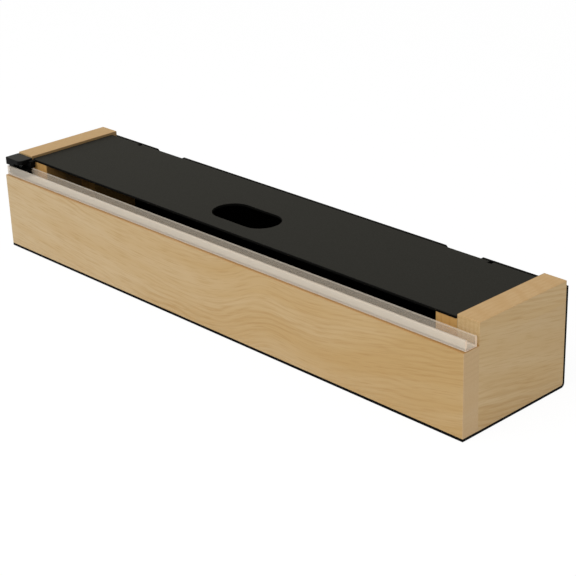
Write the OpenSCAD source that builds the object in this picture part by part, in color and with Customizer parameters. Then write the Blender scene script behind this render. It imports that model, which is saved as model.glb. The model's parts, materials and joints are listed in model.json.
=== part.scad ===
// Drawer wrap organizer: a long wooden box with a folded sheet base and back, a hinged sheet lid
// with a finger hole, and a slide cutter that runs in a clear track along the front panel.
// Modelled from the left front lower corner of the wood, then moved so that the origin is under
// the middle of the box. X runs to the right, Y to the rear, Z up. Millimetres.

/* [Wooden box] */
// Length of the box from end to end
case_length = 400; // [360:1:520]
// Depth of the wood from the front face to the rear of the end panels
case_depth = 83; // [76:0.5:120]
// Thickness of the front panel
front_thickness = 12; // [10:0.5:18]
// Thickness of each end panel
end_thickness = 15; // [12:0.5:20]
// Height of each end panel
end_height = 62; // [54:0.5:90]
// Drop from the top of the end panels to the top of the front panel
front_drop = 13; // [10:0.5:18]

/* [Corner blocks] */
// Width of each block, along the box
block_width = 15; // [10:0.5:22]
// Depth of the two front blocks
front_block_depth = 15; // [8:0.5:20]
// Gap between the front panel and the two front blocks
block_setback = 0.6; // [0:0.1:2]
// Depth of the two rear blocks, which stand against the back
rear_block_depth = 33; // [15:0.5:38]

/* [Folded sheet] */
// Thickness of the sheet that forms the base and the back
sheet_thickness = 1.6; // [0.8:0.1:2]
// Inside radius of the bend between base and back
bend_radius = 0.8; // [0.6:0.1:6]
// Drop from the top of the end panels to the top of the back
back_drop = 3.55; // [2.5:0.05:5]
// Width of each cut-out in the top edge of the back, where a hinge sits
cutout_width = 27; // [20:0.5:40]

/* [Lid] */
// Thickness of the lid sheet
lid_thickness = 1.6; // [0.8:0.1:2]
// Drop from the top of the end panels to the top of the lid
lid_drop = 1.4; // [0.6:0.1:2.4]
// Gap between each end of the lid and its end panel
lid_end_gap = 0.4; // [0.2:0.1:2]
// Distance from the front of the end panels to the front edge of the lid
lid_setback = 0.1; // [0:0.1:4]
// Gap between the rear edge of the lid and the back
lid_rear_gap = 4.3; // [3.8:0.1:6]
// Radius of the lid's corners
lid_corner = 1.5; // [0.5:0.1:4]
// How far the lid opens, in degrees
open_angle = 100; // [95:1:115]

/* [Finger hole] */
// Length of the oval finger hole, along the box
finger_length = 50; // [36:1:70]
// Width of the oval finger hole
finger_width = 25; // [18:0.5:30]
// Distance from the lid's front edge to the middle of the finger hole
finger_setback = 24.1; // [18:0.1:36]

/* [Hinges] */
// Length of each hinge
hinge_length = 25; // [18:0.5:36]
// Number of knuckles in each hinge
knuckles = 5; // [3:2:7]
// Diameter of the hinge barrel
barrel_diameter = 3; // [2.6:0.1:4]
// Diameter of the hinge pin
pin_diameter = 1.6; // [1:0.1:1.8]
// Thickness of the hinge leaves
leaf_thickness = 0.7; // [0.5:0.1:1]
// Reach of the lid leaf, towards the front
lid_leaf_reach = 11; // [8:0.5:16]
// Height of the back leaf
back_leaf_height = 12; // [9:0.5:18]
// Distance from each end of the lid to the middle of the hinge nearest to it
hinge_inset = 56.4; // [50:0.2:90]
// Distance between the two rivets of a hinge
rivet_pitch = 15; // [10:0.5:16]
// Diameter of a rivet's shank
rivet_diameter = 2.4; // [1.6:0.1:3]

/* [Relief slots] */
// Width of each relief slot in the lid's rear edge
slot_width = 3; // [2:0.1:5]
// Depth of each relief slot
slot_depth = 2.4; // [1.5:0.1:6]
// Distance from each end of the lid to the slot nearest to it
slot_inset = 32.1; // [18:0.1:36]

/* [Cutter track] */
// Distance from the left end of the box to the left end of the track
track_left_gap = 0.9; // [0:0.1:2]
// Ledge of the front panel that shows in front of the track
track_front_ledge = 1.2; // [0.5:0.1:2]
// Ledge of the front panel behind the track
track_rear_ledge = 2; // [1:0.1:3]
// Height of the track
track_height = 6; // [5:0.1:9]
// Thickness of the track's walls
track_wall = 1.2; // [1:0.1:1.5]
// Thickness of the track's floor
track_floor = 0.8; // [0.6:0.1:1.2]
// Depth of the guide groove in the inner face of each wall
groove_depth = 0.5; // [0.3:0.05:0.7]
// Height of the guide groove
groove_height = 1; // [0.8:0.1:2]
// Thickness of the adhesive tape under the track
tape_thickness = 0.3; // [0.2:0.05:0.6]

/* [Slide cutter] */
// Length of the shoe that runs in the track
shoe_length = 17.3; // [15.5:0.1:30]
// Length of the cap
cap_length = 15.8; // [13:0.2:30]
// Height of the cap
cap_height = 4.8; // [4:0.1:7]
// Gap between the top of the track and the cap, where the film passes
film_gap = 1.2; // [0.6:0.1:2]
// Depth of the recess under the leading end of the cap
mouth_depth = 1.8; // [1:0.1:2.4]
// Length of that recess
mouth_length = 7; // [5:0.2:9]
// Radius of the cap's front leading corner
cap_corner = 3; // [1:0.1:4]
// Thickness of the blade
blade_thickness = 0.4; // [0.3:0.05:0.8]
// Height of the blade
blade_height = 5; // [4:0.1:5.5]
// Diameter of the cutter's screw
cutter_screw_diameter = 1.8; // [1.4:0.1:2.2]
// How far the skirt behind the track stands out beyond the cap
nose_reach = 3; // [1.6:0.1:4]
// Drop from the top of the cap to the top of that skirt
nose_drop = 1.1; // [0.5:0.1:2]

/* [Fasteners] */
// Diameter of the dowels between front panel and end panels
dowel_diameter = 6; // [4:0.5:8]
// Length of the dowels
dowel_length = 24; // [18:1:28]
// Depth of the dowels in the front panel
dowel_front_depth = 7; // [5:0.5:8]
// Distance of each dowel from the lower or upper edge of the front panel
dowel_inset = 14; // [10:0.5:17]
// Diameter of the wood screws
screw_diameter = 3; // [2.4:0.1:3.6]
// Length of the wood screws
screw_length = 16; // [12:0.5:20]
// Diameter of the screws' countersunk heads
screw_head = 5.8; // [5:0.1:7]
// Distance between the base screws of the front panel
front_screw_pitch = 120; // [60:1:160]
// Distance of the base screws from the front and the rear of an end panel
base_screw_inset = 22; // [20.5:0.5:26]
// Height of the lower back screws above the base
back_screw_low = 24; // [23:0.5:26]
// Distance between the lower and the upper back screws
back_screw_pitch = 20; // [10:0.5:22]

/* [Hidden] */
$fn = 48;
eps = 0.01;

// Colours
wood_colour = "#c8a877";
block_colour = "#b98f55";
sheet_colour = "#1c1c1b";
lid_colour = "#33322e";
steel_colour = "#b9bbbd";
dark_steel = "#2a2a2a";
clear_colour = "#e6ded4";
cutter_colour = "#242424";

// Clearances
bore_gap = 0.05;
swing_gap = 0.4;
knuckle_gap = 0.2;
lid_knuckle_gap = 0.3;
stop_gap = 0.2;
corner_relief = 0.5;
slide_gap = 0.15;
blade_gap = 0.05;
cap_panel_gap = 0.4;
shoe_film_gap = 0.2;
skirt_gap = 0.2;

// Lid and hinge axis
lid_top = end_height - lid_drop;
lid_bottom = lid_top - lid_thickness;
lid_left = end_thickness + lid_end_gap;
lid_right = case_length - end_thickness - lid_end_gap;
lid_front = front_thickness + lid_setback;
lid_rear = case_depth - lid_rear_gap;
back_top = end_height - back_drop;
barrel_r = barrel_diameter / 2;
hinge_z = lid_bottom - barrel_r - lid_knuckle_gap;
// The open lid leans back over the top edge of the back, and that sets how far in front of it the axis is
axis_reach = (lid_top - hinge_z + stop_gap - (back_top - hinge_z) * cos(open_angle)) / sin(open_angle);
hinge_y = case_depth - axis_reach;
left_hinge_x = lid_left + hinge_inset;
right_hinge_x = lid_right - hinge_inset;
leaf_edge = barrel_r + swing_gap;

// The back leaf stands on the inner face of the back and reaches forward under the barrel
arm_base = hinge_z - barrel_r;
leaf_top = arm_base + leaf_thickness;

// Rear blocks are cut down behind this line, which leaves room for the rear edge of the lid as it swings
block_rear = hinge_y - leaf_edge;
block_step = hinge_z - (lid_top - hinge_z);

// Rivets
rivet_z = leaf_top - back_leaf_height / 2;
rivet_head_r = rivet_diameter / 2 + 0.8;
rivet_head_height = 0.8;

// Track and cutter, across the box and upwards
front_height = end_height - front_drop;
track_front = track_front_ledge;
track_rear = front_thickness - track_rear_ledge;
track_base = front_height + tape_thickness;
track_top = track_base + track_height;
channel_front = track_front + track_wall;
channel_rear = track_rear - track_wall;
channel_middle = (channel_front + channel_rear) / 2;
channel_floor = track_base + track_floor;
groove_z = channel_floor + 0.2;
tape_edge = 0.6;

cutter_start = 0.1;
shoe_start = track_left_gap + 0.1;
shoe_base = channel_floor + slide_gap;
shoe_top = track_top - shoe_film_gap;
shoe_chamfer = 0.5;
cap_base = track_top + film_gap;
cap_top = cap_base + cap_height;
cap_front = track_front - 0.2;
cap_rear = front_thickness - cap_panel_gap;
cap_end = cutter_start + cap_length;
mouth_start = cap_end - mouth_length;
skirt_front = channel_rear - 1;
cap_edge = 0.25;
small_corner = 0.3;
post_start = shoe_start + 0.3;
post_end = mouth_start - 0.6;
post_width = 3;
screw_x = (post_start + post_end) / 2;
cutter_screw_r = cutter_screw_diameter / 2;
cutter_screw_head_r = cutter_screw_r + 0.7;
cutter_screw_head_height = 1.2;
cutter_screw_grip = 2.6;
blade_start = post_end + blade_gap;
blade_length = 5;
blade_base = cap_base + mouth_depth + 1.2 - blade_height;

// Wood fasteners
end_middle = end_thickness / 2;
dowel_heights = [dowel_inset, front_height - dowel_inset];
dowel_start = front_thickness - dowel_front_depth;
dowel_end_gap = 0.5;
screw_r = screw_diameter / 2;
screw_head_r = screw_head / 2;
screw_head_height = 1.7;
screw_tip = 2;
screw_tip_r = 0.4;
recess_width = 0.7;
recess_depth = 1;
front_screw_places = [for (i = [-1 : 1]) [case_length / 2 + i * front_screw_pitch, front_thickness / 2]];
end_screw_places = [for (x = [end_middle, case_length - end_middle])
                    for (y = [front_thickness + base_screw_inset, case_depth - base_screw_inset]) [x, y]];
back_screw_places = [for (x = [end_middle, case_length - end_middle])
                     for (z = [back_screw_low, back_screw_low + back_screw_pitch]) [x, z]];

// From the corner of the wood to the part's origin, under the middle of the box
module in_frame() {
    translate([-case_length / 2, -(case_depth + sheet_thickness) / 2, sheet_thickness]) children();
}

// A box between two opposite corners
module box(low, high) {
    translate(low) cube(high - low);
}

// A cylinder along X, from x1 to x2
module rod_x(x1, x2, y, z, r) {
    translate([x1, y, z]) rotate([0, 90, 0]) cylinder(h = x2 - x1, r = r);
}

// A cylinder along Y, from y1 to y2
module rod_y(x, y1, y2, z, r) {
    translate([x, y1, z]) rotate([-90, 0, 0]) cylinder(h = y2 - y1, r = r);
}

// An outline drawn in Y and Z, pulled out along X
module along_x(x1, x2) {
    translate([x1, 0, 0]) rotate([90, 0, 90]) linear_extrude(height = x2 - x1) children();
}

// An outline drawn in X and Z, pulled out along Y
module along_y(y1, y2) {
    translate([0, y2, 0]) rotate([90, 0, 0]) linear_extrude(height = y2 - y1) children();
}

// What the bend of the sheet takes from the lower rear corner of the wood
module bend_room() {
    r = bend_radius + corner_relief;
    along_x(-eps, case_length + eps)
        difference() {
            translate([case_depth - r, -eps]) square([r + eps, r + eps]);
            translate([case_depth - r, r]) circle(r = r);
        }
}

// A countersunk wood screw that points up, with the flat of its head at z = 0
module wood_screw() {
    difference() {
        union() {
            cylinder(h = screw_head_height, r1 = screw_head_r, r2 = screw_r);
            cylinder(h = screw_length - screw_tip, r = screw_r);
            translate([0, 0, screw_length - screw_tip])
                cylinder(h = screw_tip, r1 = screw_r, r2 = screw_tip_r);
        }
        for (turn = [0, 90])
            rotate(turn) translate([-screw_head_r / 2, -recess_width / 2, -eps])
                cube([screw_head_r, recess_width, recess_depth]);
    }
}

// The hole that such a screw sits in
module screw_hole() {
    translate([0, 0, -eps])
        cylinder(h = screw_head_height + bore_gap, r1 = screw_head_r + bore_gap, r2 = screw_r + bore_gap);
    cylinder(h = screw_length + bore_gap, r = screw_r + bore_gap);
}

module at_base_screws() {
    for (place = concat(front_screw_places, end_screw_places))
        translate([place[0], place[1], -sheet_thickness]) children();
}

module at_back_screws() {
    for (place = back_screw_places)
        translate([place[0], case_depth + sheet_thickness, place[1]]) rotate([90, 0, 0]) children();
}

module dowel_holes() {
    for (x = [end_middle, case_length - end_middle])
        for (z = dowel_heights)
            rod_y(x, dowel_start - dowel_end_gap, dowel_start + dowel_length + dowel_end_gap, z,
                  dowel_diameter / 2 + bore_gap);
}

module front_panel() {
    color(wood_colour) in_frame()
        difference() {
            box([0, 0, 0], [case_length, front_thickness, front_height]);
            dowel_holes();
            at_base_screws() screw_hole();
        }
}

module end_panel(x) {
    color(wood_colour) in_frame()
        difference() {
            box([x, front_thickness, 0], [x + end_thickness, case_depth, end_height]);
            bend_room();
            dowel_holes();
            at_base_screws() screw_hole();
            at_back_screws() screw_hole();
        }
}

module left_end_panel() { end_panel(0); }

module right_end_panel() { end_panel(case_length - end_thickness); }

module front_block(x) {
    color(block_colour) in_frame()
        box([x, front_thickness + block_setback, 0],
            [x + block_width, front_thickness + front_block_depth, lid_bottom]);
}

module rear_block(x) {
    color(block_colour) in_frame()
        difference() {
            box([x, case_depth - rear_block_depth, 0], [x + block_width, case_depth, lid_bottom]);
            bend_room();
            box([x - eps, block_rear, block_step], [x + block_width + eps, case_depth + eps, lid_bottom + eps]);
        }
}

module left_front_block() { front_block(end_thickness); }

module right_front_block() { front_block(case_length - end_thickness - block_width); }

module left_rear_block() { rear_block(end_thickness); }

module right_rear_block() { rear_block(case_length - end_thickness - block_width); }

// Base, bend and back in one sheet, drawn from the side
module sheet_outline() {
    bend_y = case_depth - bend_radius;
    translate([0, -sheet_thickness]) square([bend_y, sheet_thickness]);
    translate([case_depth, bend_radius]) square([sheet_thickness, back_top - bend_radius]);
    translate([bend_y, bend_radius])
        intersection() {
            difference() {
                circle(r = bend_radius + sheet_thickness);
                circle(r = bend_radius);
            }
            translate([0, -bend_radius - sheet_thickness]) square(bend_radius + sheet_thickness);
        }
}

// A cut-out with flared sides in the top edge of the back
module back_cutout(x) {
    top = cutout_width / 2 + eps;
    bottom = cutout_width / 2 - (back_top - arm_base);
    along_y(case_depth - eps, case_depth + sheet_thickness + eps)
        polygon([[x - bottom, arm_base], [x + bottom, arm_base],
                 [x + top, back_top + eps], [x - top, back_top + eps]]);
}

module base_back_sheet() {
    color(sheet_colour) in_frame()
        difference() {
            along_x(0, case_length) sheet_outline();
            back_cutout(left_hinge_x);
            back_cutout(right_hinge_x);
            at_base_screws() screw_hole();
            at_back_screws() screw_hole();
            rivet_holes(left_hinge_x);
            rivet_holes(right_hinge_x);
        }
}

// A flat plate with round corners
module round_plate(low, high, r) {
    box([low[0] + r, low[1], low[2]], [high[0] - r, high[1], high[2]]);
    box([low[0], low[1] + r, low[2]], [high[0], high[1] - r, high[2]]);
    for (x = [low[0] + r, high[0] - r])
        for (y = [low[1] + r, high[1] - r])
            translate([x, y, low[2]]) cylinder(h = high[2] - low[2], r = r);
}

module finger_hole() {
    middle = [case_length / 2, lid_front + finger_setback, lid_bottom - eps];
    half = (finger_length - finger_width) / 2;
    depth = lid_thickness + 2 * eps;
    translate(middle) {
        translate([-half, -finger_width / 2, 0]) cube([2 * half, finger_width, depth]);
        for (side = [-1, 1])
            translate([side * half, 0, 0]) cylinder(h = depth, r = finger_width / 2);
    }
}

// An open slot in the lid's rear edge
module relief_slot(x) {
    box([x - slot_width / 2, lid_rear - slot_depth, lid_bottom - eps],
        [x + slot_width / 2, case_depth, lid_top + eps]);
}

module lid() {
    color(lid_colour) in_frame()
        difference() {
            round_plate([lid_left, lid_front, lid_bottom], [lid_right, lid_rear, lid_top], lid_corner);
            finger_hole();
            for (x = [lid_left + slot_inset, lid_right - slot_inset])
                relief_slot(x);
        }
}

// Start and end of knuckle i, from the left end of the hinge, with the gap to its neighbours taken off
function knuckle_start(i) = i * hinge_length / knuckles + (i == 0 ? 0 : knuckle_gap / 2);
function knuckle_end(i) = (i + 1) * hinge_length / knuckles - (i == knuckles - 1 ? 0 : knuckle_gap / 2);

// The back leaf has the even knuckles, first and last among them, and the lid leaf the odd ones
module hinge_barrels(x, first) {
    for (i = [first : 2 : knuckles - 1])
        rod_x(x - hinge_length / 2 + knuckle_start(i), x - hinge_length / 2 + knuckle_end(i),
              hinge_y, hinge_z, barrel_r);
}

module pin_hole(x) {
    rod_x(x - hinge_length, x + hinge_length, hinge_y, hinge_z, pin_diameter / 2 + bore_gap);
}

module rivet_holes(x) {
    for (side = [-1, 1])
        rod_y(x + side * rivet_pitch / 2, case_depth - leaf_thickness - eps,
              case_depth + sheet_thickness + eps, rivet_z, rivet_diameter / 2 + bore_gap);
}

module hinge_back_leaf(x) {
    left = x - hinge_length / 2;
    leaf_face = case_depth - leaf_thickness;
    color(dark_steel) in_frame()
        difference() {
            union() {
                box([left, leaf_face, leaf_top - back_leaf_height], [left + hinge_length, case_depth, leaf_top]);
                for (i = [0 : 2 : knuckles - 1])
                    box([left + knuckle_start(i), hinge_y, arm_base],
                        [left + knuckle_end(i), leaf_face + eps, leaf_top]);
                hinge_barrels(x, 0);
            }
            pin_hole(x);
            rivet_holes(x);
        }
}

module hinge_lid_leaf(x) {
    left = x - hinge_length / 2;
    leaf_rear = hinge_y - leaf_edge;
    color(dark_steel) in_frame()
        difference() {
            union() {
                box([left, leaf_rear - lid_leaf_reach, lid_bottom - leaf_thickness],
                    [left + hinge_length, leaf_rear, lid_bottom]);
                for (i = [1 : 2 : knuckles - 1])
                    box([left + knuckle_start(i), leaf_rear - eps, lid_bottom - leaf_thickness],
                        [left + knuckle_end(i), hinge_y, lid_bottom]);
                hinge_barrels(x, 1);
            }
            pin_hole(x);
        }
}

module hinge_pin(x) {
    color(steel_colour) in_frame()
        rod_x(x - hinge_length / 2, x + hinge_length / 2, hinge_y, hinge_z, pin_diameter / 2);
}

module left_hinge_back_leaf() { hinge_back_leaf(left_hinge_x); }

module left_hinge_lid_leaf() { hinge_lid_leaf(left_hinge_x); }

module left_hinge_pin() { hinge_pin(left_hinge_x); }

module right_hinge_back_leaf() { hinge_back_leaf(right_hinge_x); }

module right_hinge_lid_leaf() { hinge_lid_leaf(right_hinge_x); }

module right_hinge_pin() { hinge_pin(right_hinge_x); }

module hinge_rivets() {
    leaf_face = case_depth - leaf_thickness;
    color(steel_colour) in_frame()
        for (x = [left_hinge_x, right_hinge_x])
            for (side = [-1, 1]) {
                rivet_x = x + side * rivet_pitch / 2;
                rod_y(rivet_x, leaf_face, case_depth + sheet_thickness, rivet_z, rivet_diameter / 2);
                rod_y(rivet_x, leaf_face - rivet_head_height, leaf_face, rivet_z, rivet_head_r);
            }
}

module track_outline() {
    difference() {
        translate([track_front, track_base]) square([track_rear - track_front, track_height]);
        translate([channel_front, channel_floor])
            square([channel_rear - channel_front, track_height]);
        translate([channel_front - groove_depth, groove_z])
            square([channel_rear - channel_front + 2 * groove_depth, groove_height]);
    }
}

module cutter_track() {
    color(clear_colour, 0.6) in_frame() along_x(track_left_gap, case_length) track_outline();
}

module track_tape() {
    color("white") in_frame()
        box([track_left_gap + tape_edge, track_front + tape_edge, front_height],
            [case_length - tape_edge, track_rear - tape_edge, track_base]);
}

// A post with a chamfered top edge, at a corner of the cap
module cap_post(x, y, r) {
    translate([x, y, cap_base]) cylinder(h = cap_height - cap_edge, r = r, $fn = 32);
    translate([x, y, cap_top - eps]) cylinder(h = eps, r = r - cap_edge, $fn = 32);
}

module cutter_screw_hole(low, high) {
    translate([screw_x, channel_middle, low]) cylinder(h = high - low, r = cutter_screw_r + bore_gap);
}

module blade_slot(low, high) {
    box([blade_start - blade_gap, channel_middle - blade_thickness / 2 - blade_gap, low],
        [blade_start + blade_length + blade_gap, channel_middle + blade_thickness / 2 + blade_gap, high]);
}

// Cap over the track: its leading end is hollowed into a mouth that lets the film in, and a skirt
// behind that mouth holds the film down on the track's rear wall
module cutter_cap() {
    color(cutter_colour) in_frame()
        difference() {
            union() {
                hull() {
                    for (y = [cap_front + small_corner, cap_rear - small_corner])
                        cap_post(cutter_start + small_corner, y, small_corner);
                    cap_post(cap_end - small_corner, cap_rear - small_corner, small_corner);
                    cap_post(cap_end - cap_corner, cap_front + cap_corner, cap_corner);
                }
                box([mouth_start, skirt_front, track_top + skirt_gap],
                    [cap_end + nose_reach, cap_rear, cap_top - nose_drop]);
            }
            box([mouth_start, cap_front - eps, cap_base - eps],
                [cap_end + eps, skirt_front, cap_base + mouth_depth]);
            blade_slot(cap_base - eps, blade_base + blade_height + blade_gap);
            cutter_screw_hole(cap_base - eps, cap_base + cutter_screw_grip + bore_gap);
        }
}

// Shoe in the track, with guide ribs and the post that carries the cap
module cutter_shoe() {
    front = channel_front + slide_gap;
    rear = channel_rear - slide_gap;
    shoe_end = shoe_start + shoe_length;
    color(cutter_colour) in_frame()
        difference() {
            union() {
                along_y(front, rear)
                    polygon([[shoe_start, shoe_base], [shoe_end, shoe_base],
                             [shoe_end, shoe_top - shoe_chamfer],
                             [shoe_end - shoe_chamfer, shoe_top], [shoe_start, shoe_top]]);
                box([shoe_start, channel_front - groove_depth + slide_gap, groove_z + slide_gap],
                    [shoe_end, channel_rear + groove_depth - slide_gap, groove_z + groove_height - slide_gap]);
                box([post_start, channel_middle - post_width / 2, shoe_top - eps],
                    [post_end, channel_middle + post_width / 2, cap_base]);
            }
            blade_slot(blade_base - blade_gap, cap_top);
            cutter_screw_hole(shoe_base - eps, cap_base + eps);
            translate([screw_x, channel_middle, shoe_base - eps])
                cylinder(h = cutter_screw_head_height + bore_gap, r = cutter_screw_head_r + bore_gap);
        }
}

// Blade with a slanting edge that faces the way the cutter is pulled
module cutter_blade() {
    edge_run = 2.6;
    color(steel_colour) in_frame()
        along_y(channel_middle - blade_thickness / 2, channel_middle + blade_thickness / 2)
            polygon([[blade_start, blade_base], [blade_start + blade_length - edge_run, blade_base],
                     [blade_start + blade_length, blade_base + blade_height],
                     [blade_start, blade_base + blade_height]]);
}

module cutter_screw() {
    color(steel_colour) in_frame()
        translate([screw_x, channel_middle, shoe_base]) {
            cylinder(h = cutter_screw_head_height, r = cutter_screw_head_r);
            cylinder(h = cap_base + cutter_screw_grip - shoe_base, r = cutter_screw_r);
        }
}

module front_dowels() {
    color(block_colour) in_frame()
        for (x = [end_middle, case_length - end_middle])
            for (z = dowel_heights)
                rod_y(x, dowel_start, dowel_start + dowel_length, z, dowel_diameter / 2);
}

module base_screws() {
    color(steel_colour) in_frame() at_base_screws() wood_screw();
}

module back_screws() {
    color(dark_steel) in_frame() at_back_screws() wood_screw();
}

front_panel();
left_end_panel();
right_end_panel();
left_front_block();
right_front_block();
left_rear_block();
right_rear_block();
base_back_sheet();
lid();
left_hinge_back_leaf();
left_hinge_lid_leaf();
left_hinge_pin();
right_hinge_back_leaf();
right_hinge_lid_leaf();
right_hinge_pin();
hinge_rivets();
cutter_track();
track_tape();
cutter_cap();
cutter_shoe();
cutter_blade();
cutter_screw();
front_dowels();
base_screws();
back_screws();
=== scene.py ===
import json
import math
from contextlib import contextmanager
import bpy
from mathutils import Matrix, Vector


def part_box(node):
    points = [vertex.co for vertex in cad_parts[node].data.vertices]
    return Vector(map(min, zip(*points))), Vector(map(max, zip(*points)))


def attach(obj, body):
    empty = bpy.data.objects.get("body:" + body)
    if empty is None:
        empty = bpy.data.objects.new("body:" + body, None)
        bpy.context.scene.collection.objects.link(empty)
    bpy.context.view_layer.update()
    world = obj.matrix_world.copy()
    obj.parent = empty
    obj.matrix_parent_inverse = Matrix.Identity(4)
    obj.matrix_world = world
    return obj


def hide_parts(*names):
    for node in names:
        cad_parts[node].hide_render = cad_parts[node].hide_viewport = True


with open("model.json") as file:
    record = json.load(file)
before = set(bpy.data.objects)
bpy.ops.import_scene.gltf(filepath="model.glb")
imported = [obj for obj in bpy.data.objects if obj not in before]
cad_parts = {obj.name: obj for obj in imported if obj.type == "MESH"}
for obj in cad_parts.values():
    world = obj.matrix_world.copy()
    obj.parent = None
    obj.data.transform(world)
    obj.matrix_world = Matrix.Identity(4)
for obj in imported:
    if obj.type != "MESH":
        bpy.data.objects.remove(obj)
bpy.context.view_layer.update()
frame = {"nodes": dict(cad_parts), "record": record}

from types import SimpleNamespace
from typing import NamedTuple

import bmesh
import bpy
from mathutils import Quaternion, Vector

bl_info = {
    "name": "Drawer Wrap Organizer",
    "version": (1, 0, 0),
    "blender": (4, 5, 0),
    "location": "View3D > Sidebar > Organizer",
    "description": "Makes the wooden box, lid, hinges, track and slide cutter of a wrap organizer",
    "category": "Add Mesh",
}

MM = 0.001
RECORD = frame["record"]
BODY_OF = {node: body for body, nodes in RECORD["behaviour"]["bodies"].items() for node in nodes}
AXIS_TURN = {"X": (0, math.pi / 2, 0), "Y": (-math.pi / 2, 0, 0), "Z": (0, 0, 0)}
SIDES = ("left", "right")


def linear(hex_code):
    """An sRGB hex colour as linear red, green, blue and alpha."""
    parts = [int(hex_code[i:i + 2], 16) / 255 for i in (1, 3, 5)]
    return tuple(c / 12.92 if c <= 0.04045 else ((c + 0.055) / 1.055) ** 2.4 for c in parts) + (1.0,)


def length(name, description, size_mm):
    """A length property, given in millimetres."""
    return bpy.props.FloatProperty(
        name=name, description=description, default=size_mm * MM, unit="LENGTH", precision=5)


def colour(name, description, hex_code):
    """A colour property, given as an sRGB hex value."""
    return bpy.props.FloatVectorProperty(
        name=name, description=description, default=linear(hex_code), size=4, subtype="COLOR", min=0, max=1)


class OrganizerSizes(bpy.types.PropertyGroup):
    """Sizes that the boxes of the construction don't give."""

    panel_edge: length("Panel edge", "Rounding of the open edges of the wooden panels", 0.15)
    block_edge: length("Block edge", "Rounding of the corner blocks", 0.25)
    rebate_depth: length("Rebate depth", "Part of a rear block that is cut down behind the hinge axis", 5.8)
    rebate_height: length("Rebate height", "How far it is cut down", 5.2)
    bend_corner: length("Bend corner", "Rounding of the wood's lower rear corners, inside the sheet", 1.3)
    lid_corner: length("Lid corner", "Radius of the lid's corners, seen from above", 1.5)
    lid_edge: length("Lid edge", "Rounding that the coating gives the lid's cut edges", 0.25)
    finger_length: length("Finger hole length", "Length of the oval finger hole", 50)
    finger_width: length("Finger hole width", "Width of the oval finger hole", 25)
    finger_setback: length("Finger hole setback", "From the lid's front edge to the hole's middle", 24.1)
    slot_width: length("Slot width", "Width of a relief slot in the lid's rear edge", 3)
    slot_depth: length("Slot depth", "Depth of a relief slot", 2.4)
    slot_inset: length("Slot inset", "From each end of the lid to the slot nearest to it", 32.1)
    knuckles: bpy.props.IntProperty(name="Knuckles", description="Knuckles in a hinge", default=5, min=3)
    knuckle_gap: length("Knuckle gap", "Gap between two knuckles", 0.2)
    leaf: length("Leaf", "Thickness of a hinge leaf", 0.7)
    leaf_clearance: length("Leaf clearance", "From the barrel to the edge of the other leaf", 0.4)
    hinge_edge: length("Hinge edge", "Rounding of the hinge's stamped edges", 0.12)
    bore_gap: length("Bore gap", "Gap between a pin and its bore", 0.05)
    rivet_head: length("Rivet head", "Height of a rivet's domed head", 0.8)
    rivet_shank: length("Rivet shank", "Diameter of a rivet's shank", 2.4)
    track_wall: length("Track wall", "Thickness of the track's walls", 1.2)
    track_floor: length("Track floor", "Thickness of the track's floor", 0.8)
    track_edge: length("Track edge", "Rounding of the track's extruded edges", 0.2)
    groove_depth: length("Groove depth", "Depth of the guide groove in each wall", 0.5)
    groove_height: length("Groove height", "Height of the guide groove", 1)
    groove_rise: length("Groove rise", "From the track's floor to the groove", 0.2)
    cap_corner: length("Cap corner", "Radius of the cap's front leading corner", 3)
    cap_edge: length("Cap edge", "Rounding of the cap's top edge and other corners", 0.45)
    film_gap: length("Film gap", "Gap between the top of the track and the cap", 1.2)
    nose_reach: length("Nose reach", "How far the skirt behind the track stands out beyond the cap", 3)
    nose_drop: length("Nose drop", "From the top of the cap to the top of that skirt", 1.1)
    skirt_overlap: length("Skirt overlap", "How far that skirt reaches forward over the channel", 1)
    mouth_length: length("Mouth length", "Length of the film mouth under the cap", 7)
    mouth_depth: length("Mouth depth", "Height of the film mouth", 1.8)
    screw_head: length("Screw head", "Diameter of a wood screw's countersunk head", 5.8)
    screw_shank: length("Screw shank", "Diameter of a wood screw's shank", 3)
    screw_length: length("Screw length", "Length of a wood screw", 16)


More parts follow.
